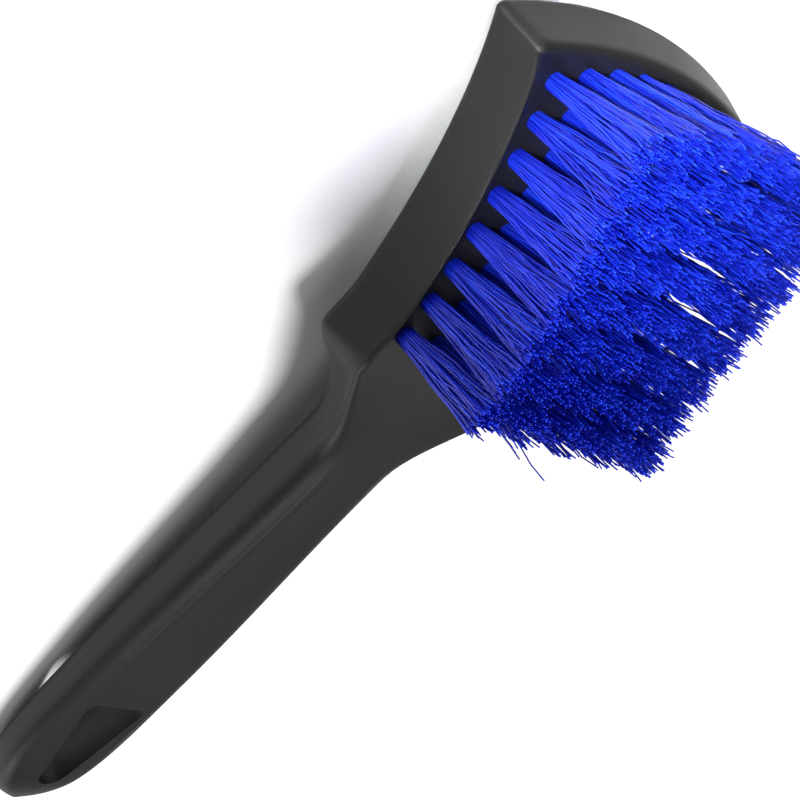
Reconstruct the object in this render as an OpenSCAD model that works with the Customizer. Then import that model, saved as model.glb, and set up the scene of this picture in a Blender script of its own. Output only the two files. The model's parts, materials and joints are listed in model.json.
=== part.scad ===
// Wheel brush: a one-piece moulded handle and head, with tufts of filament
// folded round wire staples in blind holes.
// The brush frame has x from the far edge of the head to the handle's end, y across
// and z = 0 on the bristle face, with the bristles up. place() lays it on its back.

/* [Overall] */
// Length from the far edge of the head to the end of the handle
brush_len = 251; // [230:1:290]

/* [Head] */
// Length from the far edge to the shoulder
head_len = 95; // [88:1:105]
// Width of the back across the far corners
head_far_w = 93; // [80:1:112]
// Width of the back at its waist
head_waist_w = 66; // [60:1:80]
// How far the shoulder stands out past the waist at each side
shoulder_out = 2.5; // [0:0.5:4]
// Thickness from the bristle face to the back
head_t = 14.5; // [12:0.5:18]
// How far the back stands out past the face at each side
side_draft = 5; // [2:0.5:6]
// How far the back stands out past the face at the far end
end_draft = 4; // [2:0.5:5]
// Rise of the curved far end, from its corners to its middle
end_bow = 7.7; // [3:0.1:10]
// Length of the far part of the head that flares and bows
flare_len = 79; // [70:1:85]
// Rounding of the edge round the bristle face
face_edge_r = 1.5; // [1:0.1:2.5]
// Rounding of the edge round the back
back_edge_r = 2.5; // [1.5:0.1:4]

/* [Handle] */
// Width of the neck
neck_w = 28; // [22:0.5:30]
// Width of the grip at its widest
grip_w = 34; // [28:0.5:38]
// Thickness of the grip and neck
handle_t = 15.5; // [13:0.5:17]
// How far the grip's back lies below the plane of the head's back
back_sink = 2; // [0:0.5:3]
// How much thinner the handle's end is than the grip
end_thin = 2.5; // [1:0.5:4]
// Rise of the grip's front and back from their edges to their middle
grip_crown = 1.5; // [0.5:0.1:2]
// Rounding of the grip's edges
grip_edge_r = 4.5; // [3:0.1:5]
// Angle of the handle below the plane of the bristle face
handle_bend = 12; // [6:1:15]
// Length of the shoulder from the head into the neck, along the back
shoulder_len = 22; // [18:1:28]
// Length of the web from the bristle face into the neck, along the front
web_len = 37; // [30:1:44]
// Length over which the handle narrows to its end
taper_len = 40; // [36:1:50]

/* [Hang hole] */
// Length of the hang hole
hang_len = 30; // [24:1:36]
// Width of its wide end, towards the head
hang_wide_w = 19; // [12:0.5:20]
// Width of its narrow end, towards the handle's end
hang_narrow_w = 8; // [6:0.5:10]
// Wall between the narrow end and the handle's end
hang_wall = 10.5; // [7:0.5:13]
// Rounding of the corners at the wide end
hang_corner_r = 2.5; // [2:0.5:5]
// How much the hole widens all round from the front to the back
hang_draft = 2; // [0:0.1:2.5]

/* [Tufts] */
// Tufts in each row, from the far end to the shoulder
tufts_in_row = [8, 7, 6, 6, 6, 5, 5, 5];
// Distance from row to row
row_pitch = 10.7; // [9:0.1:11.2]
// Distance from the far edge of the face to the middle of the first row
row_margin = 5.5; // [5:0.5:8]
// How far the first row bows back at its ends; the last row is straight
row_bow = 7.3; // [4:0.1:8]
// Distance from the side edge of the face to the outer tufts
side_margin = 4.8; // [4.3:0.1:7]
// Diameter of the hole that holds a tuft
hole_d = 5; // [4:0.1:5.6]
// Depth of the hole
hole_depth = 10; // [8:0.5:11]
// Height of the trimmed tips over the bristle face
bristle_len = 38; // [28:1:46]
// Clearance between a folded tuft and its hole, all round
tuft_clearance = 0.05; // [0.02:0.01:0.1]
// Gap between neighbouring tufts at their tips
tip_gap = 0.5; // [0.3:0.1:1.5]
// How far the tips of the outer tufts spread out past their holes
tip_spread = 8.5; // [0:0.5:10]
// How far the tips of the first row lean towards the far end
far_lean = 4; // [0:0.5:5]
// How far the tips of the last row lean towards the far end
near_lean = 2.5; // [0:0.5:3]

/* [Staples] */
// How far each end of a staple cuts into the wall of its hole
staple_bite = 0.4; // [0.2:0.05:0.8]
// Thickness of the staple's wire
staple_t = 0.4; // [0.3:0.05:0.6]
// Height of the staple's wire
staple_h = 1.8; // [1.2:0.1:2.4]
// Thickness of the fold of filament under the staple
fold_t = 1.2; // [0.8:0.1:1.6]

/* [Hidden] */
$fn = 48;
rows = len(tufts_in_row);
staple_len = hole_d + 2 * staple_bite;
// Points across the face and round each corner of a section
face_points = 8;
corner_points = 3;
// Rounding of the edge round the far end wall
wall_end_r = 2;
// How far a tuft stays straight above the middle of its hole's mouth
straight_len = 1.5;
// Half the length over which the handle bends, and its slope past the bend
bend_half = 18;
bend_tan = tan(handle_bend);
// Plain stretch at each end of the grip's swell
swell_gap = 10;
// Length over which the handle's end rounds off, and the share of its thickness each face loses
end_round_len = 14;
end_round_share = 0.25;
// Where the head and the handle touch the surface, from the far edge and from the handle's end
far_rest_x = 3.6;
handle_rest_in = 11;
// Width of the flat that closes the handle's end
end_cut = 0.6;
// Powers that shape the flare, the shoulder's fillet and the handle's end
flare_power = 2.1;
fillet_power = 1.5;
end_power = 3.3;
end_round_power = 2.4;
// Places along the brush
waist_x = flare_len;
shoulder_x = head_len;
neck_x = shoulder_x + shoulder_len;
web_x = head_len - 6;
widest_x = brush_len - taper_len;
bend_x = shoulder_x + 5;
rest_x = brush_len - handle_rest_in;

function mix(a, b, v) = a + (b - a) * v;
function clamp01(v) = max(0, min(1, v));
function ease(v) = 0.5 - 0.5 * cos(180 * clamp01(v));
function flare(x) = pow(clamp01((waist_x - x) / waist_x), flare_power);
// A rounded fillet from 1 at v = 0 to 0 at v = 1
function fillet(v) = 1 - pow(1 - pow(1 - clamp01(v), fillet_power), 1 / fillet_power);
// The rounded end of the handle, from 1 at its widest to 0 at its end
function round_end(x) = sqrt(max(0, 1 - pow(clamp01((x - widest_x) / taper_len), end_power)));

// Half widths of the head's back, the bristle face and the grip
function head_half(x) =
    mix(head_waist_w, head_far_w, flare(x)) / 2
    + shoulder_out * ease((x - waist_x) / (shoulder_x - waist_x));
function grip_half(x) =
    mix(neck_w, grip_w, ease((x - neck_x - swell_gap) / (widest_x - neck_x - 2 * swell_gap))) / 2
    * round_end(x);
function back_half(x) =
    mix(grip_half(x), head_half(min(x, shoulder_x)), fillet((x - shoulder_x) / shoulder_len));
function face_half(x) =
    mix(head_half(x) - side_draft, grip_half(x), ease((x - web_x) / web_len));

// Heights of the front and the back along the middle
function drop(x) =
    x < bend_x - bend_half ? 0
    : x > bend_x + bend_half ? bend_tan * (x - bend_x)
    : bend_tan * pow(x - bend_x + bend_half, 2) / (4 * bend_half);
function neck_share(x) = ease((x - web_x) / web_len);
function end_round(x) =
    pow(clamp01((x - brush_len + end_round_len) / end_round_len), end_round_power)
    * handle_t * end_round_share;
function thin(x) = end_thin * ease((x - neck_x) / (brush_len - neck_x)) + end_round(x);
function front_z(x) = -drop(x) - mix(0, head_t + back_sink - handle_t, neck_share(x)) - end_round(x);
function back_z(x) = -drop(x) - mix(head_t, head_t + back_sink, neck_share(x)) + thin(x);

// One corner of a section, rounded from the line before it to the line after it
function bezier(a, b, c, v) = mix(mix(a, b, v), mix(b, c, v), v);
function toward(a, b, d) = a + (b - a) * min(0.45, d / norm(b - a));
function corner(before, at, after, r) = [
    for (i = [0:corner_points])
        bezier(toward(at, before, r), at, toward(at, after, r), i / corner_points)
];

// A closed section at x, as points across y and z, front first, then back
function section(x, inset) =
    let (
        f = face_half(x) - inset,
        b = back_half(x) - inset,
        zf = front_z(x) - inset,
        zb = back_z(x) + inset,
        s = neck_share(x),
        rf = mix(face_edge_r, grip_edge_r, s),
        rb = mix(back_edge_r, grip_edge_r, s),
        c = grip_crown * s * min(1, 2 * f / neck_w),
        fl = [-f, zf], fr = [f, zf], br = [b, zb], bl = [-b, zb],
        left = corner(bl, fl, fr, rf), right = corner(fl, fr, br, rf),
        under = corner(fr, br, bl, rb), over = corner(br, bl, fl, rb),
        front = [for (i = [1:face_points - 1]) mix(left[corner_points], right[0], i / face_points)],
        back = [for (i = [1:face_points - 1]) mix(under[corner_points], over[0], i / face_points)]
    )
    [
        for (p = concat(left, front, right)) [p[0], p[1] - c * pow(p[0] / f, 2)],
        for (p = concat(under, back, over)) [p[0], p[1] + c * pow(p[0] / b, 2)]
    ];

// A section bowed to the far end's arc and slanted to its draft
function ring(x, inset, past) =
    let (
        b = max(back_half(x), face_half(x)),
        slant = end_draft * flare(x)
    )
    [
        for (p = section(x, inset)) [
            x + past + end_bow * flare(x) * (pow(p[0] / b, 2)) + slant * (1 - clamp01(-p[1] / head_t)),
            p[0],
            p[1]
        ]
    ];

// Stations along the brush, closer together where the shape turns quickly
stations = [
    for (i = [1:9]) waist_x * pow(i / 9, 1.25),
    for (i = [1:3]) mix(waist_x, shoulder_x, i / 3),
    for (i = [1:10]) mix(shoulder_x, neck_x, pow(i / 10, 1.4)),
    for (i = [1:8]) mix(neck_x, widest_x, i / 8),
    for (i = [1:8]) mix(widest_x, brush_len - end_cut, sin(90 * i / 8))
];
far_rings = [ring(0, wall_end_r, 0), ring(0, wall_end_r * 0.3, wall_end_r * 0.3), ring(0, 0, wall_end_r)];
rings = concat(far_rings, [for (x = stations) ring(x, 0, wall_end_r * flare(x))]);
ring_size = len(rings[0]);
body_points = [for (r = rings) each r];

function quad(a, b, c, d) = [[a, b, c], [a, c, d]];
function cap(first, flip) = [
    for (i = [0:ring_size / 2 - 2])
        let (a = first + i, b = first + i + 1, c = first + ring_size - 2 - i, d = first + ring_size - 1 - i)
        each (flip ? quad(a, b, c, d) : quad(d, c, b, a))
];
function skin() = [
    for (k = [0:len(rings) - 2], i = [0:ring_size - 1])
        let (j = (i + 1) % ring_size, a = k * ring_size, b = a + ring_size)
        each quad(a + i, a + j, b + j, b + i)
];

// Rows of tufts: the holes lie in the bristle face, the tips in the trimmed plane
function row_x(r) = end_draft + row_margin + row_pitch * r;
function row_rise(r) = row_bow * (1 - r / (rows - 1));
function outer_y(r) = face_half(row_x(r) + row_rise(r)) - side_margin;
function hole_y(r, c) = outer_y(r) * (2 * c / (tufts_in_row[r] - 1) - 1);
function hole_at(r, c) =
    [row_x(r) + row_rise(r) * pow(hole_y(r, c) / outer_y(r), 2), hole_y(r, c), 0];
function fan(r) = 1 + tip_spread / outer_y(r);
function lean_x(r) = mix(-far_lean, -near_lean, r / (rows - 1));
function tip_at(r, c) = let (h = hole_at(r, c)) [h[0] + lean_x(r), h[1] * fan(r), bristle_len];
function tip_pitch() = row_pitch + (far_lean - near_lean - row_bow) / (rows - 1);
function tip_r(r) = (min(tip_pitch(), 2 * outer_y(r) * fan(r) / (tufts_in_row[r] - 1)) - tip_gap) / 2;
function tuft_name(r, c) = str("tuft_", r + 1, "_", c + 1);

// The angle and height that lay the brush on the head's far edge and the handle's end
function turned(p) = [
    p[0] * cos(rest_tilt) + p[2] * sin(rest_tilt),
    -p[0] * sin(rest_tilt) + p[2] * cos(rest_tilt)
];
rest_tilt = -atan((-back_z(rest_x) - head_t) / (rest_x - far_rest_x));
laid = [for (p = body_points) turned(p)];
laid_tips = [for (c = [0:tufts_in_row[0] - 1]) turned(tip_at(0, c) - [tip_r(0), 0, 0])];
x_low = min([for (p = concat(laid, laid_tips)) p[0]]);
x_high = max([for (p = laid) p[0]]);
z_low = min([for (p = laid) p[1]]);

// Lays a piece on its back, with the origin under the middle of the brush
module place() {
    translate([-(x_low + x_high) / 2, 0, -z_low]) rotate([0, rest_tilt, 0]) children();
}

// Leans a piece with its tuft, about the middle of the mouth of the hole
module leaned(r, c) {
    span = tip_at(r, c) - hole_at(r, c);
    way = atan2(span[1], span[0]);
    lean = acos(span[2] / norm(span));
    translate(hole_at(r, c)) rotate([0, 0, way]) rotate([0, lean, 0]) rotate([0, 0, -way]) children();
}

module each_tuft() {
    for (r = [0:rows - 1], c = [0:tufts_in_row[r] - 1]) leaned(r, c) children();
}

// The wire staple, as it lies across the bottom of a hole
module staple_shape() {
    translate([-staple_t / 2, -staple_len / 2, fold_t - hole_depth]) cube([staple_t, staple_len, staple_h]);
}

// One rounded corner of the hang hole, of radius r at the grip's front and wider at its back
module hang_corner(r) {
    cylinder(h = 2 * handle_t, r1 = r + 1.5 * hang_draft, r2 = r - 0.5 * hang_draft, center = true);
}

// The opening through the end of the handle, square to the grip
module hang_hole() {
    narrow_r = hang_narrow_w / 2;
    narrow_x = brush_len - hang_wall - narrow_r;
    wide_x = brush_len - hang_wall - hang_len + hang_corner_r;
    wide_y = hang_wide_w / 2 - hang_corner_r;
    translate([narrow_x, 0, (front_z(narrow_x) + back_z(narrow_x)) / 2]) rotate([0, handle_bend, 0]) hull() {
        hang_corner(narrow_r);
        for (y = [-wide_y, wide_y]) translate([wide_x - narrow_x, y]) hang_corner(hang_corner_r);
    }
}

// The moulded handle and head, with its blind holes, staple slits and hang hole
module body() {
    color("#1d1e20") place() difference() {
        polyhedron(body_points, concat(cap(0, true), skin(), cap((len(rings) - 1) * ring_size, false)));
        each_tuft() translate([0, 0, -hole_depth]) cylinder(h = hole_depth + straight_len, d = hole_d);
        each_tuft() staple_shape();
        hang_hole();
    }
}

// One tuft: the folded root in its hole and the spread filaments, trimmed level
module tuft(r, c) {
    root_r = hole_d / 2 - tuft_clearance;
    tall = norm(tip_at(r, c) - hole_at(r, c));
    past = tip_r(r);
    color("#1638e0") place() difference() {
        leaned(r, c) difference() {
            rotate_extrude() polygon([
                [0, -hole_depth], [root_r, -hole_depth], [root_r, straight_len],
                [tip_r(r), tall], [tip_r(r), tall + past], [0, tall + past]
            ]);
            staple_shape();
        }
        translate(tip_at(r, c) - [2 * past, 2 * past, 0]) cube(4 * past);
    }
}

// The wire staples that hold the folds down
module staples() {
    color("#b9b39a") place() each_tuft() staple_shape();
}

body();
staples();
for (r = [0:rows - 1], c = [0:tufts_in_row[r] - 1])
    tuft(r, c);
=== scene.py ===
"""A wheel brush: a moulded handle and head, with tufts of filament held by wire staples."""

import json
import math

import bpy
import numpy as np
from mathutils import Matrix, Vector


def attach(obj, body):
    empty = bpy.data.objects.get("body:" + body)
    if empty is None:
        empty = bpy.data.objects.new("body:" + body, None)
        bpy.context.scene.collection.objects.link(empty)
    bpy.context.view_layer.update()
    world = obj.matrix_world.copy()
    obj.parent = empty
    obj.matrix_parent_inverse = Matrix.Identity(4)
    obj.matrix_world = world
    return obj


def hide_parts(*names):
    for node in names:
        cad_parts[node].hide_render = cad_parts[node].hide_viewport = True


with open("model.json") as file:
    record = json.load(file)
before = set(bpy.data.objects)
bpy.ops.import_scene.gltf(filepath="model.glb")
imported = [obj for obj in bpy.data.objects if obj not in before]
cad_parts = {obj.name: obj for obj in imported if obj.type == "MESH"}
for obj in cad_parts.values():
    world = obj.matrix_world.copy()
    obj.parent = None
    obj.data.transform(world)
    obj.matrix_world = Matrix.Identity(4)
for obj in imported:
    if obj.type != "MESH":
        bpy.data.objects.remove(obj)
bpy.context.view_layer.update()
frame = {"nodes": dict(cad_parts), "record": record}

# The brush's own frame, in millimetres: x from the far edge of the head to the handle's
# end, y across, z = 0 on the bristle face. The back's mount says how the brush lies.
BACK_X, HEAD_T = 45.0, 14.5
mount = next(m for m in frame["record"]["mounts"] if m["name"] == "back")
brush_up = -Vector(mount["axis"])
brush_along = Vector((0, 1, 0)).cross(brush_up)
brush_zero = Vector(mount["pos_m"]) - brush_along * BACK_X / 1000 + brush_up * HEAD_T / 1000
LAY = Matrix.Translation(brush_zero) @ Matrix((brush_along, (0, 1, 0), brush_up)).transposed().to_4x4()

# Sizes of the moulding
BRUSH_LEN, HEAD_LEN = 251.0, 95.0
HEAD_FAR_W, HEAD_WAIST_W, SHOULDER_OUT = 93.0, 66.0, 2.5
SIDE_DRAFT, END_DRAFT, END_BOW, FLARE_LEN = 5.0, 4.0, 7.7, 79.0
FACE_EDGE_R, BACK_EDGE_R, WALL_END_R = 1.5, 2.5, 2.0
NECK_W, GRIP_W, HANDLE_T, BACK_SINK, END_THIN = 28.0, 34.0, 15.5, 2.0, 2.5
GRIP_CROWN, GRIP_EDGE_R, HANDLE_BEND = 1.5, 4.5, 12.0
SHOULDER_LEN, WEB_LEN, TAPER_LEN = 22.0, 37.0, 40.0
HANG_LEN, HANG_WIDE_W, HANG_NARROW_W, HANG_WALL = 30.0, 19.0, 8.0, 10.5
HANG_CORNER_R, HANG_DRAFT = 2.5, 2.0
HOLE_D, HOLE_DEPTH = 5.0, 10.0

# Places along the brush: the neck, the web's start, the bend's middle and the grip's widest place
NECK_X = HEAD_LEN + SHOULDER_LEN
WEB_X = HEAD_LEN - 6
BEND_X = HEAD_LEN + 5
WIDEST_X = BRUSH_LEN - TAPER_LEN

# Half the length over which the handle bends, and the plain stretch at each end of the grip's swell
BEND_HALF, SWELL_GAP = 18.0, 10.0
# Powers that shape the flare, the shoulder's fillet, the handle's end and its rounding
FLARE_POWER, FILLET_POWER, END_POWER, END_ROUND_POWER = 2.1, 1.5, 3.3, 2.4
# Length over which the handle's end rounds off, and the share of its thickness each face loses
END_ROUND_LEN, END_ROUND_SHARE = 14.0, 0.25

# Detail on the moulding. A span says where something starts along the brush and over what length.
LIP_HIGH, LIP_WIDE, LIP_IN = 1.1, 1.5, 0.3   # raised lip between each side wall and the bristle face
LIP_START, LIP_GROW, LIP_END = (3, 6), (20, 50), (HEAD_LEN - 2, 5)
LIP_FAR_SHARE = 0.4                # the lip's height before it grows
BEAD_HIGH, BEAD_WIDE, BEAD_IN = 0.45, 1.5, 5.2   # rounded bead along both front edges of the grip
BEAD_START, BEAD_END = (NECK_X, 25), (BRUSH_LEN - 45, 30)
GROOVE_IN = 3.6                    # groove between the bead and the edge
SHOULDER_R = 3.5                   # rounding of the shoulder's corners
MOUTH_R = 0.7                      # rounding of the hang hole's mouths
FRONT_MOUTH = 1.6                  # the front mouth's rounding, as a share of the back's
WALL_BULGE = 0.45                  # power that swells the side wall past the shoulder
BULGE_START, BULGE_END = (HEAD_LEN, 6), (NECK_X, 20)

# How finely the moulding's skin is drawn
CORNER_STEPS, WALL_STEPS, FACE_STEPS = 9, 9, 46
CROWDING = 0.6                     # share of a face's points that crowd towards its edges
CORNER_REACH = 0.45                # the most of a side that a corner's rounding takes
SHOULDER_SAMPLES = 8               # places averaged on each side to round the shoulder
CAP_RINGS, EDGE_RINGS, LAST_RINGS = 16, 5, 5
END_GAP = 0.03                     # the last section's distance from the handle's end


# ---------------------------------------------------------------- the moulding's shape
def mix(a, b, v):
    return a + (b - a) * v


def clamp01(v):
    return max(0.0, min(1.0, v))


def ease(v):
    return 0.5 - 0.5 * math.cos(math.pi * clamp01(v))


def over(x, span):
    """How far x is through a span, eased from 0 before it to 1 after it."""
    start, length = span
    return ease((x - start) / length)


def flare(x):
    return clamp01((FLARE_LEN - x) / FLARE_LEN) ** FLARE_POWER


def fillet(v):
    return 1 - (1 - (1 - clamp01(v)) ** FILLET_POWER) ** (1 / FILLET_POWER)


def round_end(x):
    return math.sqrt(max(0.0, 1 - clamp01((x - WIDEST_X) / TAPER_LEN) ** END_POWER))


def head_half(x):
    out = SHOULDER_OUT * ease((x - FLARE_LEN) / (HEAD_LEN - FLARE_LEN))
    return mix(HEAD_WAIST_W, HEAD_FAR_W, flare(x)) / 2 + out


def grip_half(x):
    swell = over(x, (NECK_X + SWELL_GAP, WIDEST_X - NECK_X - 2 * SWELL_GAP))
    return mix(NECK_W, GRIP_W, swell) / 2 * round_end(x)


def neck_share(x):
    """How far a section has changed from the head's shape to the grip's."""
    return over(x, (WEB_X, WEB_LEN))


def outline_half(x):
    return mix(grip_half(x), head_half(min(x, HEAD_LEN)), fillet((x - HEAD_LEN) / SHOULDER_LEN))


def back_half(x):
    """The back's half width, with its corners at the shoulder rounded by averaging."""
    near = max(0.0, 1 - ((x - HEAD_LEN) / (3 * SHOULDER_R)) ** 2)
    shifts = range(-SHOULDER_SAMPLES, SHOULDER_SAMPLES + 1)
    return sum(outline_half(x + SHOULDER_R * near * i / SHOULDER_SAMPLES) for i in shifts) / len(shifts)


def face_half(x):
    return mix(head_half(x) - SIDE_DRAFT, grip_half(x), neck_share(x))


def wall_power(x):
    return mix(1, WALL_BULGE, over(x, BULGE_START) * (1 - over(x, BULGE_END)))


def drop(x):
    slope = math.tan(math.radians(HANDLE_BEND))
    if x < BEND_X - BEND_HALF:
        return 0.0
    if x > BEND_X + BEND_HALF:
        return slope * (x - BEND_X)
    return slope * (x - BEND_X + BEND_HALF) ** 2 / (4 * BEND_HALF)


def end_round(x):
    """How much each face loses where the handle's end rounds off."""
    near_end = clamp01((x - BRUSH_LEN + END_ROUND_LEN) / END_ROUND_LEN)
    return near_end ** END_ROUND_POWER * HANDLE_T * END_ROUND_SHARE


def front_z(x):
    return -drop(x) - mix(0, HEAD_T + BACK_SINK - HANDLE_T, neck_share(x)) - end_round(x)


def back_z(x):
    thin = END_THIN * over(x, (NECK_X, BRUSH_LEN - NECK_X)) + end_round(x)
    return -drop(x) - mix(HEAD_T, HEAD_T + BACK_SINK, neck_share(x)) + thin


def corner(before, at, after, r, steps):
    """Points round a corner, from the line before it to the line after it."""
    def toward(a, b):
        return a + (b - a) * min(CORNER_REACH, r / np.linalg.norm(b - a))
    start, end = toward(at, before), toward(at, after)
    return [mix(mix(start, at, i / steps), mix(at, end, i / steps), i / steps) for i in range(steps + 1)]


def section(x, inset):
    """A closed section at x, as points (y, z), front first, then the back."""
    f, b = face_half(x) - inset, back_half(x) - inset
    zf, zb = front_z(x) - inset, back_z(x) + inset
    s = neck_share(x)
    crown = GRIP_CROWN * s * min(1, 2 * f / NECK_W)
    rf, rb = mix(FACE_EDGE_R, GRIP_EDGE_R, s), mix(BACK_EDGE_R, GRIP_EDGE_R, s)
    fl, fr, br, bl = (np.array(p) for p in ((-f, zf), (f, zf), (b, zb), (-b, zb)))
    left, right = corner(bl, fl, fr, rf, CORNER_STEPS), corner(fl, fr, br, rf, CORNER_STEPS)
    under, over = corner(fr, br, bl, rb, CORNER_STEPS), corner(br, bl, fl, rb, CORNER_STEPS)
    across = [
        ease(i / FACE_STEPS) * CROWDING + (1 - CROWDING) * i / FACE_STEPS
        for i in range(1, FACE_STEPS)
    ]
    front = left + [mix(left[-1], right[0], v) for v in across] + right
    back = under + [mix(under[-1], over[0], v) for v in across] + over
    front = [(y, z - crown * (y / f) ** 2 + edge_detail(x, f - abs(y))) for y, z in front]
    back = [(y, z + crown * (y / b) ** 2) for y, z in back]
    wall = []
    for i in range(1, WALL_STEPS):
        v = i / WALL_STEPS
        high, low = front[-1], back[0]
        bulge = mix(f, b, v ** wall_power(x)) - mix(f, b, v)
        wall.append((mix(high[0], low[0], v) + bulge, mix(high[1], low[1], v)))
    return front + wall + back + [(-y, z) for y, z in reversed(wall)]


def edge_detail(x, inward):
    """Height of the lip or the bead over a plain edge, at a distance inward from the edge."""
    def swell(middle, wide):
        return math.exp(-((inward - middle) / wide) ** 2)
    lip = LIP_HIGH * mix(LIP_FAR_SHARE, 1, over(x, LIP_GROW)) * over(x, LIP_START) * (1 - over(x, LIP_END))
    bead = BEAD_HIGH * over(x, BEAD_START) * (1 - over(x, BEAD_END))
    groove = swell(GROOVE_IN, BEAD_WIDE / 2) - swell(BEAD_IN, BEAD_WIDE)
    return swell(LIP_IN, LIP_WIDE / 2) * lip - bead * groove


def far_shift(b, y, z):
    """How far the far end's arc and draft move a point along the brush."""
    return END_BOW * (y / b) ** 2 + END_DRAFT * (1 - clamp01(-z / HEAD_T))


def ring(x, inset, past):
    """A section as points (x, y, z), bowed to the far end's arc and slanted to its draft."""
    b = max(back_half(x), face_half(x))
    return [(x + past + flare(x) * far_shift(b, y, z), y, z) for y, z in section(x, inset)]


def cap_rings(outer, steps, end_wall):
    """Rings that close an end, from a point in its middle out to its outer ring."""
    z_mid = sum(p[2] for p in outer) / len(outer)
    rings = []
    for i in range(steps):
        s = i / steps
        small = [(p[0], p[1] * s, mix(z_mid, p[2], s)) for p in outer]
        if end_wall:
            small = [(far_shift(back_half(0), y, z), y, z) for _, y, z in small]
        rings.append(small)
    return rings


def stations(start, end, count, spacing):
    """Places along the brush after the start, as far as the end."""
    return [mix(start, end, spacing(i / count)) for i in range(1, count + 1)]


def even(v):
    return v


def moulding_rings():
    """All the rings of the moulding, from the far end wall to the handle's end."""
    first = ring(0, WALL_END_R, 0)
    edge = []
    for i in range(1, EDGE_RINGS + 1):
        a = math.pi / 2 * i / EDGE_RINGS
        edge.append(ring(0, WALL_END_R * (1 - math.sin(a)), WALL_END_R * (1 - math.cos(a))))
    places = stations(0, FLARE_LEN, 34, lambda v: v ** 1.15)   # a little closer at the far end
    places += stations(FLARE_LEN, HEAD_LEN, 14, even)
    places += stations(HEAD_LEN, NECK_X, 26, lambda v: v ** 1.5)   # closer at the shoulder
    places += stations(NECK_X, WIDEST_X, 36, even)
    places += stations(WIDEST_X, BRUSH_LEN - END_GAP, 30, lambda v: math.sin(math.pi / 2 * v))
    rings = [ring(x, 0, WALL_END_R * flare(x)) for x in places]
    last = cap_rings(rings[-1], LAST_RINGS, False)
    return cap_rings(first, CAP_RINGS, True) + [first] + edge + rings + last[::-1]


# ---------------------------------------------------------------- tools for every piece
SAME_POINT = 0.001   # points closer than this are merged


def only(piece):
    """Selects one piece and nothing else."""
    bpy.ops.object.select_all(action="DESELECT")
    piece.select_set(True)
    bpy.context.view_layer.objects.active = piece


def edit(piece, *steps):
    """Runs edit mode operators, each a (name, settings) pair, on all of one piece."""
    only(piece)
    bpy.ops.object.mode_set(mode="EDIT")
    for name, settings in steps:
        bpy.ops.mesh.select_all(action="SELECT")
        getattr(bpy.ops.mesh, name)(**settings)
    bpy.ops.object.mode_set(mode="OBJECT")


def tube_of(name, rings):
    """A closed skin over rings of points: a flat grid wrapped round, with its seam merged."""
    count, around = len(rings), len(rings[0])
    bpy.ops.mesh.primitive_grid_add(x_subdivisions=around, y_subdivisions=count - 1, size=2)
    piece = bpy.context.object
    piece.name = name
    for v in piece.data.vertices:
        i = round((v.co.x + 1) / 2 * around) % around
        k = round((v.co.y + 1) / 2 * (count - 1))
        v.co = rings[k][i]
    edit(piece, ("remove_doubles", {"threshold": SAME_POINT}), ("normals_make_consistent", {"inside": False}))
    return piece


def cut(piece, tool):
    """Takes the tool's space out of a piece, and removes the tool."""
    only(piece)
    modifier = piece.modifiers.new("cut", "BOOLEAN")
    modifier.operation, modifier.object, modifier.solver = "DIFFERENCE", tool, "EXACT"
    bpy.ops.object.modifier_apply(modifier=modifier.name)
    bpy.data.objects.remove(tool)


def joined(pieces, name):
    """Joins pieces into the first of them."""
    only(pieces[0])
    for p in pieces:
        p.select_set(True)
    bpy.ops.object.join()
    pieces[0].name = name
    return pieces[0]


def lay(piece):
    """Scales a piece from millimetres and lays it down, with its place in its mesh."""
    piece.data.transform(LAY @ Matrix.Scale(0.001, 4))
    piece.data.update()


def smooth(piece, crease):
    """Shades a piece smooth, apart from the edges that turn by more than the crease, in degrees."""
    only(piece)
    bpy.ops.object.shade_smooth_by_angle(angle=math.radians(crease))


def finish_piece(piece, material, slot, *nodes):
    """Gives a piece its material and its body, and hides the CAD nodes that it stands for. The slot is not
    used.
    """
    piece.data.materials.clear()
    piece.data.materials.append(material)
    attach(piece, "root")
    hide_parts(*nodes)


# ---------------------------------------------------------------- tufts, from the CAD nodes
TUFTS = sorted(n for n in frame["nodes"] if n.startswith("tuft_"))
UNLAY = LAY.inverted()
TIP_BAND = 0.05                # depth below a tuft's highest point that counts as its tips
FOOT_BAND, FOOT_UP = 1.5, 0.3  # depth of a tuft's lowest part, and the height of its middle there


def tuft_ends(node):
    """The middle of a tuft's hole mouth and of its tips, and the radius of its tips."""
    points = np.array([(UNLAY @ v.co) * 1000 for v in frame["nodes"][node].data.vertices])
    top = points[points[:, 2] > points[:, 2].max() - TIP_BAND]
    low = points[points[:, 2] < points[:, 2].min() + FOOT_BAND]
    tip = (top.min(0) + top.max(0)) / 2
    foot = (low.min(0) + low.max(0)) / 2
    foot[2] = points[:, 2].min() + FOOT_UP
    mouth = foot + (tip - foot) * -foot[2] / (tip[2] - foot[2])
    return mouth, tip, (top[:, 1].max() - top[:, 1].min()) / 2


def row_pitch(node):
    """The distance between neighbouring tips in a tuft's row, and how far out its last tips are."""
    row = [tuft_ends(n)[1][1] for n in TUFTS if n.split("_")[1] == node.split("_")[1]]
    return (max(row) - min(row)) / (len(row) - 1), max(row)


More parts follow.
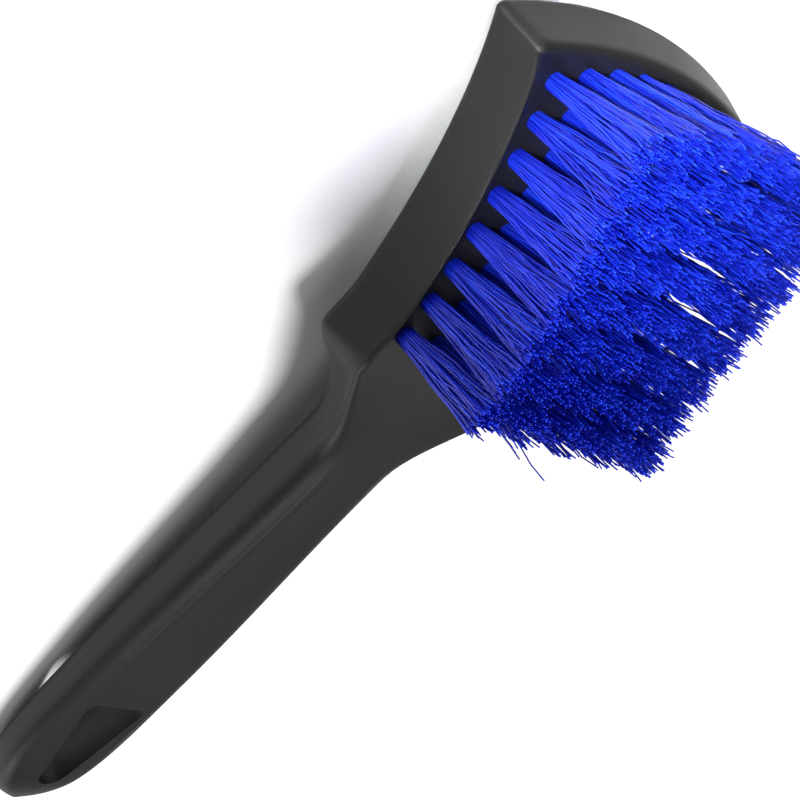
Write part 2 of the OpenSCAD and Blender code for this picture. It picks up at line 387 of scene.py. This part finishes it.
FILAMENT_D, FILAMENTS = 0.42, 124
SIDES, SEGMENTS = 5, 8
ROOT_IN, ROOT_GAP = 2.5, 0.1          # how deep the filaments start in a hole, and their gap to its wall
TIP_SPREAD = np.array([1.05, 1.15])   # along and across the brush, at the ends of a row
LAST_MARGIN = 1                       # tips this close to the row's last ones are last ones too
TURN_NOISE = 0.18                     # how far a filament's tip strays round the tuft, in radians
TIP_NOISE = (0.42, 0.9)               # how far it strays along and across the brush
STRAY_SHARE, STRAY_FAR = 0.05, 2.0    # filaments that stand out of the tuft, and how far
REACH_NOISE, SHORTEST, SHORT_POWER = 0.008, 0.06, 3   # uneven cut: spread, and the few shorter ones
WAVE_LEN, WAVE_HIGH = (0.3, 0.6), (0.2, 0.75)   # a filament's waves: share of its length, and height
WAVE_POWER = 0.8                      # how the waves grow towards the tips
SWAY_TURN, SWAY_SHARE = 4.1, 0.6      # the slower wave square to the first, and its height beside it
ROUND = 6.28                          # a full turn, near enough
GOLDEN = math.pi * (3 - math.sqrt(5))
FIRST_SEED = 100


def one_filament():
    """One straight filament of unit length and radius, cut level, as points and faces."""
    bpy.ops.mesh.primitive_cylinder_add(
        vertices=SIDES, radius=1, depth=1, end_fill_type="NGON", location=(0, 0, 0.5)
    )
    rod = bpy.context.object
    bpy.ops.object.transform_apply(location=True)
    bpy.ops.object.mode_set(mode="EDIT")
    for i in range(1, SEGMENTS):
        bpy.ops.mesh.select_all(action="SELECT")
        bpy.ops.mesh.bisect(plane_co=(0, 0, i / SEGMENTS), plane_no=(0, 0, 1))
    bpy.ops.object.mode_set(mode="OBJECT")
    points = np.array([v.co[:] for v in rod.data.vertices])
    faces = [tuple(p.vertices) for p in rod.data.polygons if p.normal.z > -0.9]   # without the buried end
    bpy.data.objects.remove(rod)
    return points, faces


def store(mesh, name, values):
    """Keeps one number for each point of a mesh, for its material."""
    attribute = mesh.attributes.new(name, "FLOAT", "POINT")
    attribute.data.foreach_set("value", values.astype(np.float32))


def round_about(turn):
    return np.stack([np.cos(turn), np.sin(turn)], 1)


def tuft(node, points, faces, seed):
    """A tuft of wavy filaments, packed in its hole and spread towards its tips."""
    rng = np.random.default_rng(seed)
    mouth, tip, tip_r = tuft_ends(node)
    axis = tip - mouth
    start_v = -ROOT_IN / axis[2]
    i = np.arange(FILAMENTS)
    packed = np.sqrt((i + 0.5) / FILAMENTS)
    turn = i * GOLDEN + rng.uniform(0, ROUND)
    root = round_about(turn) * packed[:, None] * (HOLE_D / 2 - FILAMENT_D / 2 - ROOT_GAP)
    loose = turn + rng.normal(0, TURN_NOISE, FILAMENTS)
    spread = round_about(loose) * packed[:, None] * tip_r * TIP_SPREAD
    pitch, last_y = row_pitch(node)
    meets = (abs(tip[1]) < last_y - LAST_MARGIN) | (spread[:, 1] * tip[1] < 0)   # a neighbour's side
    spread[meets, 1] *= max(1, pitch / 2 / tip_r / TIP_SPREAD[1])
    spread += rng.normal(0, 1, (FILAMENTS, 2)) * TIP_NOISE
    stray = rng.random(FILAMENTS) < STRAY_SHARE
    spread[stray] += rng.normal(0, STRAY_FAR, (stray.sum(), 2))
    reach = 1 + rng.normal(0, REACH_NOISE, FILAMENTS) - SHORTEST * rng.random(FILAMENTS) ** SHORT_POWER
    wave_a, wave_b = rng.uniform(0, ROUND, (2, FILAMENTS))
    wave_len = rng.uniform(*WAVE_LEN, FILAMENTS)
    wave_high = rng.uniform(*WAVE_HIGH, FILAMENTS)
    wave_way = rng.uniform(0, ROUND, FILAMENTS)
    way_x, way_y = np.cos(wave_way)[:, None], np.sin(wave_way)[:, None]
    v = points[None, :, 2] * (reach[:, None] - start_v) + start_v
    out = np.clip(v, 0, 1)
    wave = wave_high[:, None] * out ** WAVE_POWER
    swing = np.sin(v / wave_len[:, None] * ROUND + wave_a[:, None]) * wave
    sway = np.sin(v / wave_len[:, None] * SWAY_TURN + wave_b[:, None]) * wave * SWAY_SHARE
    cx = mix(root[:, None, 0], spread[:, None, 0], out) + swing * way_x - sway * way_y
    cy = mix(root[:, None, 1], spread[:, None, 1], out) + swing * way_y + sway * way_x
    x = mouth[0] + axis[0] * v + cx + points[None, :, 0] * (FILAMENT_D / 2)
    y = mouth[1] + axis[1] * v + cy + points[None, :, 1] * (FILAMENT_D / 2)
    z = mouth[2] + axis[2] * v
    co = np.stack([x, y, z], 2).reshape(-1, 3)
    each = len(points)
    name = "filaments_" + node[5:]
    mesh = bpy.data.meshes.new(name)
    skins = [tuple(q + k * each for q in f) for k in range(FILAMENTS) for f in faces]
    mesh.from_pydata(co.tolist(), [], skins)
    store(mesh, "shade", np.repeat(rng.random(FILAMENTS), each))
    store(mesh, "along", out.reshape(-1))
    piece = bpy.data.objects.new(name, mesh)
    bpy.context.scene.collection.objects.link(piece)
    lay(piece)
    return piece


# ---------------------------------------------------------------- materials
def colour(hex_code):
    """An sRGB hex colour as linear RGBA."""
    parts = [int(hex_code[i:i + 2], 16) / 255 for i in (1, 3, 5)]
    return (*[c / 12.92 if c <= 0.04045 else ((c + 0.055) / 1.055) ** 2.4 for c in parts], 1.0)


def add(tree, kind, settings=None, **links):
    """Adds a node with its settings, and links its inputs to other nodes' outputs."""
    node = tree.nodes.new(kind)
    for key, value in (settings or {}).items():
        if key in node.inputs:
            node.inputs[key].default_value = value
        else:
            setattr(node, key, value)
    for key, source in links.items():
        tree.links.new(source, node.inputs[key.replace("_", " ")])
    return node


def new_material(name):
    material = bpy.data.materials.new(name)
    material.use_nodes = True
    tree = material.node_tree
    return material, tree, tree.nodes["Principled BSDF"]


def ramp(tree, source, *stops):
    """The colours that a value between 0 and 1 is given, from stops of (position, colour)."""
    node = add(tree, "ShaderNodeValToRGB", Fac=source)
    elements = node.color_ramp.elements
    while len(elements) > 1:
        elements.remove(elements[-1])
    elements[0].position, elements[0].color = stops[0]
    for position, value in stops[1:]:
        elements.new(position).color = value
    return node.outputs["Color"]


def grey(level):
    return (level, level, level, 1)


def moulded_polypropylene():
    """Black polypropylene, moulded in a spark-eroded tool: a fine even grain that spreads
    every highlight into a soft grey sheen, and soft patches that are a little smoother."""
    material, tree, shader = new_material("moulded_polypropylene")
    place = add(tree, "ShaderNodeTexCoord").outputs["Object"]
    # The real grain is about 0.15 mm. It is drawn at 0.6 mm, coarser, so that it shows from afar.
    fine = {"Scale": 1 / 0.0006, "Detail": 3.0, "Roughness": 0.6}
    grain = add(tree, "ShaderNodeTexNoise", fine, Vector=place)
    cloud = add(tree, "ShaderNodeTexNoise", {"Scale": 1 / 0.045, "Detail": 2.0}, Vector=place)
    rub = ramp(tree, cloud.outputs["Fac"], (0.3, grey(0.47)), (0.7, grey(0.55)))
    tint = ramp(tree, grain.outputs["Fac"], (0.35, colour("#040405")), (0.65, colour("#101011")))
    bump = add(tree, "ShaderNodeBump", {"Strength": 0.5, "Distance": 0.0001}, Height=grain.outputs["Fac"])
    tree.links.new(tint, shader.inputs["Base Color"])
    tree.links.new(rub, shader.inputs["Roughness"])
    tree.links.new(bump.outputs["Normal"], shader.inputs["Normal"])
    shader.inputs["IOR"].default_value = 1.49
    return material


def polypropylene_filament():
    """Extruded blue polypropylene filament: strongly coloured and satin, with each filament
    a shade of its own. Painted shade darkens it down in the tuft. Its cut end is paler, partly the cut's own
    whitening and partly a painted highlight."""
    material, tree, shader = new_material("polypropylene_filament")
    shade = add(tree, "ShaderNodeAttribute", {"attribute_name": "shade"})
    along = add(tree, "ShaderNodeAttribute", {"attribute_name": "along"})
    own = ramp(tree, shade.outputs["Fac"],
               (0.0, colour("#0414a0")), (0.5, colour("#0a20c0")), (1.0, colour("#183cdc")))
    # Painted shade down in the tuft, where the filaments crowd. A pale cut end, partly the cut's own
    # whitening and partly a painted highlight.
    depth = ramp(tree, along.outputs["Fac"],
                 (0.0, (0.8, 0.8, 0.85, 1)), (0.3, grey(1)), (0.97, grey(1)), (1.0, (1.9, 1.9, 1.5, 1)))
    mixed = add(tree, "ShaderNodeMix", {"data_type": "RGBA", "blend_type": "MULTIPLY"})
    share, first, second = mixed.inputs[0], mixed.inputs[6], mixed.inputs[7]
    share.default_value = 1.0
    tree.links.new(own, first)
    tree.links.new(depth, second)
    tree.links.new(mixed.outputs[2], shader.inputs["Base Color"])
    shader.inputs["Roughness"].default_value = 0.38
    shader.inputs["IOR"].default_value = 1.49
    return material


def galvanised_wire():
    """Flat galvanised steel wire: grey metal with a fine, dull mottle of zinc."""
    material, tree, shader = new_material("galvanised_wire")
    place = add(tree, "ShaderNodeTexCoord").outputs["Object"]
    zinc = add(tree, "ShaderNodeTexNoise", {"Scale": 1 / 0.0004, "Detail": 2.0}, Vector=place)
    bloom = ramp(tree, zinc.outputs["Fac"], (0.35, colour("#a8a9a6")), (0.65, colour("#c9cac6")))
    tree.links.new(bloom, shader.inputs["Base Color"])
    shader.inputs["Metallic"].default_value = 1.0
    shader.inputs["Roughness"].default_value = 0.42
    return material


def painted_board():
    """A pale painted board under the brush: dull, with a faint wide mottle."""
    material, tree, shader = new_material("painted_board")
    place = add(tree, "ShaderNodeTexCoord").outputs["Object"]
    mottle = add(tree, "ShaderNodeTexNoise", {"Scale": 6.0, "Detail": 2.0}, Vector=place)
    tint = ramp(tree, mottle.outputs["Fac"], (0.3, colour("#f2f2f2")), (0.7, colour("#f6f6f6")))
    tree.links.new(tint, shader.inputs["Base Color"])
    shader.inputs["Roughness"].default_value = 0.8
    return material


# ---------------------------------------------------------------- camera, floor and lights
# The camera's turn, rise and roll in degrees, its place in the brush's frame in millimetres, and its lens
VIEW_TURN, VIEW_RISE, VIEW_ROLL = -19.0, 34.4, 135.6
CAM_MID, CAM_FAR, CAM_SIDE, CAM_LIFT = 124.1, 771.9, 6.0, 20.7
LENS, SENSOR = 148.5, 36.0
FLOOR_SIZE, ROOM_STRENGTH = 6, 0.2
# Each lamp's name, place, aim, size in metres, spread in degrees and power in watts
LIGHTS = [
    ("window", (-1.2, -0.3, 0.8), (0, 0, 0.02), 0.7, 180, 3.6),
    ("low_fill", (1.1, -0.28, 0.38), (-0.03, 0, 0.03), 0.4, 180, 3.2),
    ("above", (-0.1, 0.25, 1.4), (0, 0, 0.02), 0.9, 180, 24.0),
    ("head_spot", (-0.2, -0.5, 0.35), (-0.122, -0.05, 0.05), 0.08, 9, 0.06),
]


def stage():
    """The camera, the floor and the soft lights."""
    turn, rise, roll = (math.radians(a) for a in (VIEW_TURN, VIEW_RISE, VIEW_ROLL))
    back = Vector((math.sin(turn) * math.cos(rise), -math.cos(turn) * math.cos(rise), math.sin(rise)))
    right = Vector((math.cos(turn), math.sin(turn), 0))
    up = back.cross(right)
    across = right * math.cos(roll) + up * math.sin(roll)
    upright = up * math.cos(roll) - right * math.sin(roll)
    place = Vector((CAM_MID, 0, 0)) + back * CAM_FAR + across * CAM_SIDE + upright * CAM_LIFT
    pose = Matrix.Translation(place * 0.001) @ Matrix((across, upright, back)).transposed().to_4x4()
    camera = bpy.data.objects.new("camera", bpy.data.cameras.new("camera"))
    camera.data.lens = LENS
    camera.data.sensor_width = SENSOR
    camera.data.clip_start, camera.data.clip_end = 0.01, 20.0
    camera.matrix_world = LAY @ pose
    bpy.context.scene.collection.objects.link(camera)
    bpy.context.scene.camera = camera

    bpy.ops.mesh.primitive_plane_add(size=FLOOR_SIZE)
    floor = bpy.context.object
    floor.name = "floor"
    floor.data.materials.append(painted_board())

    world = bpy.data.worlds.new("room")
    world.use_nodes = True
    background = world.node_tree.nodes["Background"]
    background.inputs["Color"].default_value = (1, 1, 1, 1)
    background.inputs["Strength"].default_value = ROOM_STRENGTH
    bpy.context.scene.world = world
    bpy.context.scene.view_settings.view_transform = "Standard"
    for name, place, aim, size, spread, watts in LIGHTS:
        lamp = bpy.data.lights.new(name, "AREA")
        lamp.shape, lamp.size, lamp.energy, lamp.spread = "DISK", size, watts, math.radians(spread)
        lamp_object = bpy.data.objects.new(name, lamp)
        lamp_object.location = place
        way = Vector(aim) - Vector(place)
        lamp_object.rotation_euler = way.to_track_quat("-Z", "Y").to_euler()
        bpy.context.scene.collection.objects.link(lamp_object)


# ---------------------------------------------------------------- the pieces
DRILL_PAST, DRILL_SIDES = 3, 28       # how far a drill stands past the bristle face
PIN_BACK, PIN_FRONT, PIN_LIP = 4, 5, 0.6   # how far the core pin stands past the grip, and its last straight
PIN_MID_X, PIN_ARC, PIN_FLARE = -10, 12, 4   # the middle of its outline, and the steps in its curves
MOULDING_CREASE, FILAMENT_CREASE = 38, 60


def hole_tools():
    """A drill for every tuft's hole, joined as one tool."""
    tools = []
    for node in TUFTS:
        mouth, tip, _ = tuft_ends(node)
        axis = Vector(tip - mouth).normalized()
        bpy.ops.mesh.primitive_cylinder_add(
            vertices=DRILL_SIDES, radius=HOLE_D / 2, depth=HOLE_DEPTH + DRILL_PAST
        )
        drill = bpy.context.object
        turn = axis.to_track_quat("Z", "Y").to_matrix().to_4x4()
        move = Matrix.Translation(Vector(mouth) - axis * (HOLE_DEPTH - DRILL_PAST) / 2)
        drill.data.transform(move @ turn)
        tools.append(drill)
    return joined(tools, "drills")


def hang_outline(grow):
    """The hang hole's outline, grown by an amount, as points about its narrow end's middle."""
    wide_x = HANG_NARROW_W / 2 - HANG_LEN + HANG_CORNER_R
    wide_y = HANG_WIDE_W / 2 - HANG_CORNER_R
    side = math.pi / 2 - math.atan2(wide_y + HANG_CORNER_R - HANG_NARROW_W / 2, -wide_x)
    points = []
    for cx, cy, r, a, b in (
        (0, 0, HANG_NARROW_W / 2 + grow, -side, side),
        (wide_x, wide_y, HANG_CORNER_R + grow, side, math.pi),
        (wide_x, -wide_y, HANG_CORNER_R + grow, -math.pi, -side),
    ):
        for i in range(PIN_ARC + 1):
            turn = mix(a, b, i / PIN_ARC)
            points.append((cx + r * math.cos(turn), cy + r * math.sin(turn)))
    return points


def hang_tool():
    """The hang hole's core pin, drafted, and flared at both faces of the grip to round its mouths."""
    narrow_x = BRUSH_LEN - HANG_WALL - HANG_NARROW_W / 2
    mid = Vector((narrow_x, 0, (front_z(narrow_x) + back_z(narrow_x)) / 2))
    half = (front_z(narrow_x) - back_z(narrow_x)) / 2
    front_r = MOUTH_R * FRONT_MOUTH
    heights = [(-half - PIN_BACK, MOUTH_R), (half + PIN_FRONT, front_r), (half + PIN_LIP, front_r)]
    for side in (-1, 1):
        for i in range(PIN_FLARE + 1):
            a = math.pi / 2 * i / PIN_FLARE
            heights.append((side * (half - MOUTH_R + MOUTH_R * math.sin(a)), MOUTH_R * (1 - math.cos(a))))
    rings = [
        [(x, y, z) for x, y in hang_outline(flared + HANG_DRAFT * (0.5 - z / HANDLE_T))]
        for z, flared in sorted(heights)
    ]
    def shrunk(outline, share):
        return [(mix(PIN_MID_X, x, share), y * share, z) for x, y, z in outline]
    low = [shrunk(rings[0], share) for share in (0, 0.5)]
    high = [shrunk(rings[-1], share) for share in (0.5, 0)]
    tool = tube_of("core_pin", low + rings + high)
    turn = Matrix.Rotation(math.radians(HANDLE_BEND), 4, "Y")
    tool.data.transform(Matrix.Translation(mid) @ turn)
    return tool


def moulding():
    """The handle and head, drilled for the tufts and with its hang hole."""
    piece = tube_of("moulding", moulding_rings())
    cut(piece, hole_tools())
    cut(piece, hang_tool())
    lay(piece)
    smooth(piece, MOULDING_CREASE)
    return piece


stage()
finish_piece(moulding(), moulded_polypropylene(), "body", "body")

filament_points, filament_faces = one_filament()
blue = polypropylene_filament()
for number, node in enumerate(TUFTS):
    piece = tuft(node, filament_points, filament_faces, FIRST_SEED + number)
    smooth(piece, FILAMENT_CREASE)
    finish_piece(piece, blue, "filament", node)

staples = frame["nodes"]["staples"]
staples.data.materials.clear()
staples.data.materials.append(galvanised_wire())
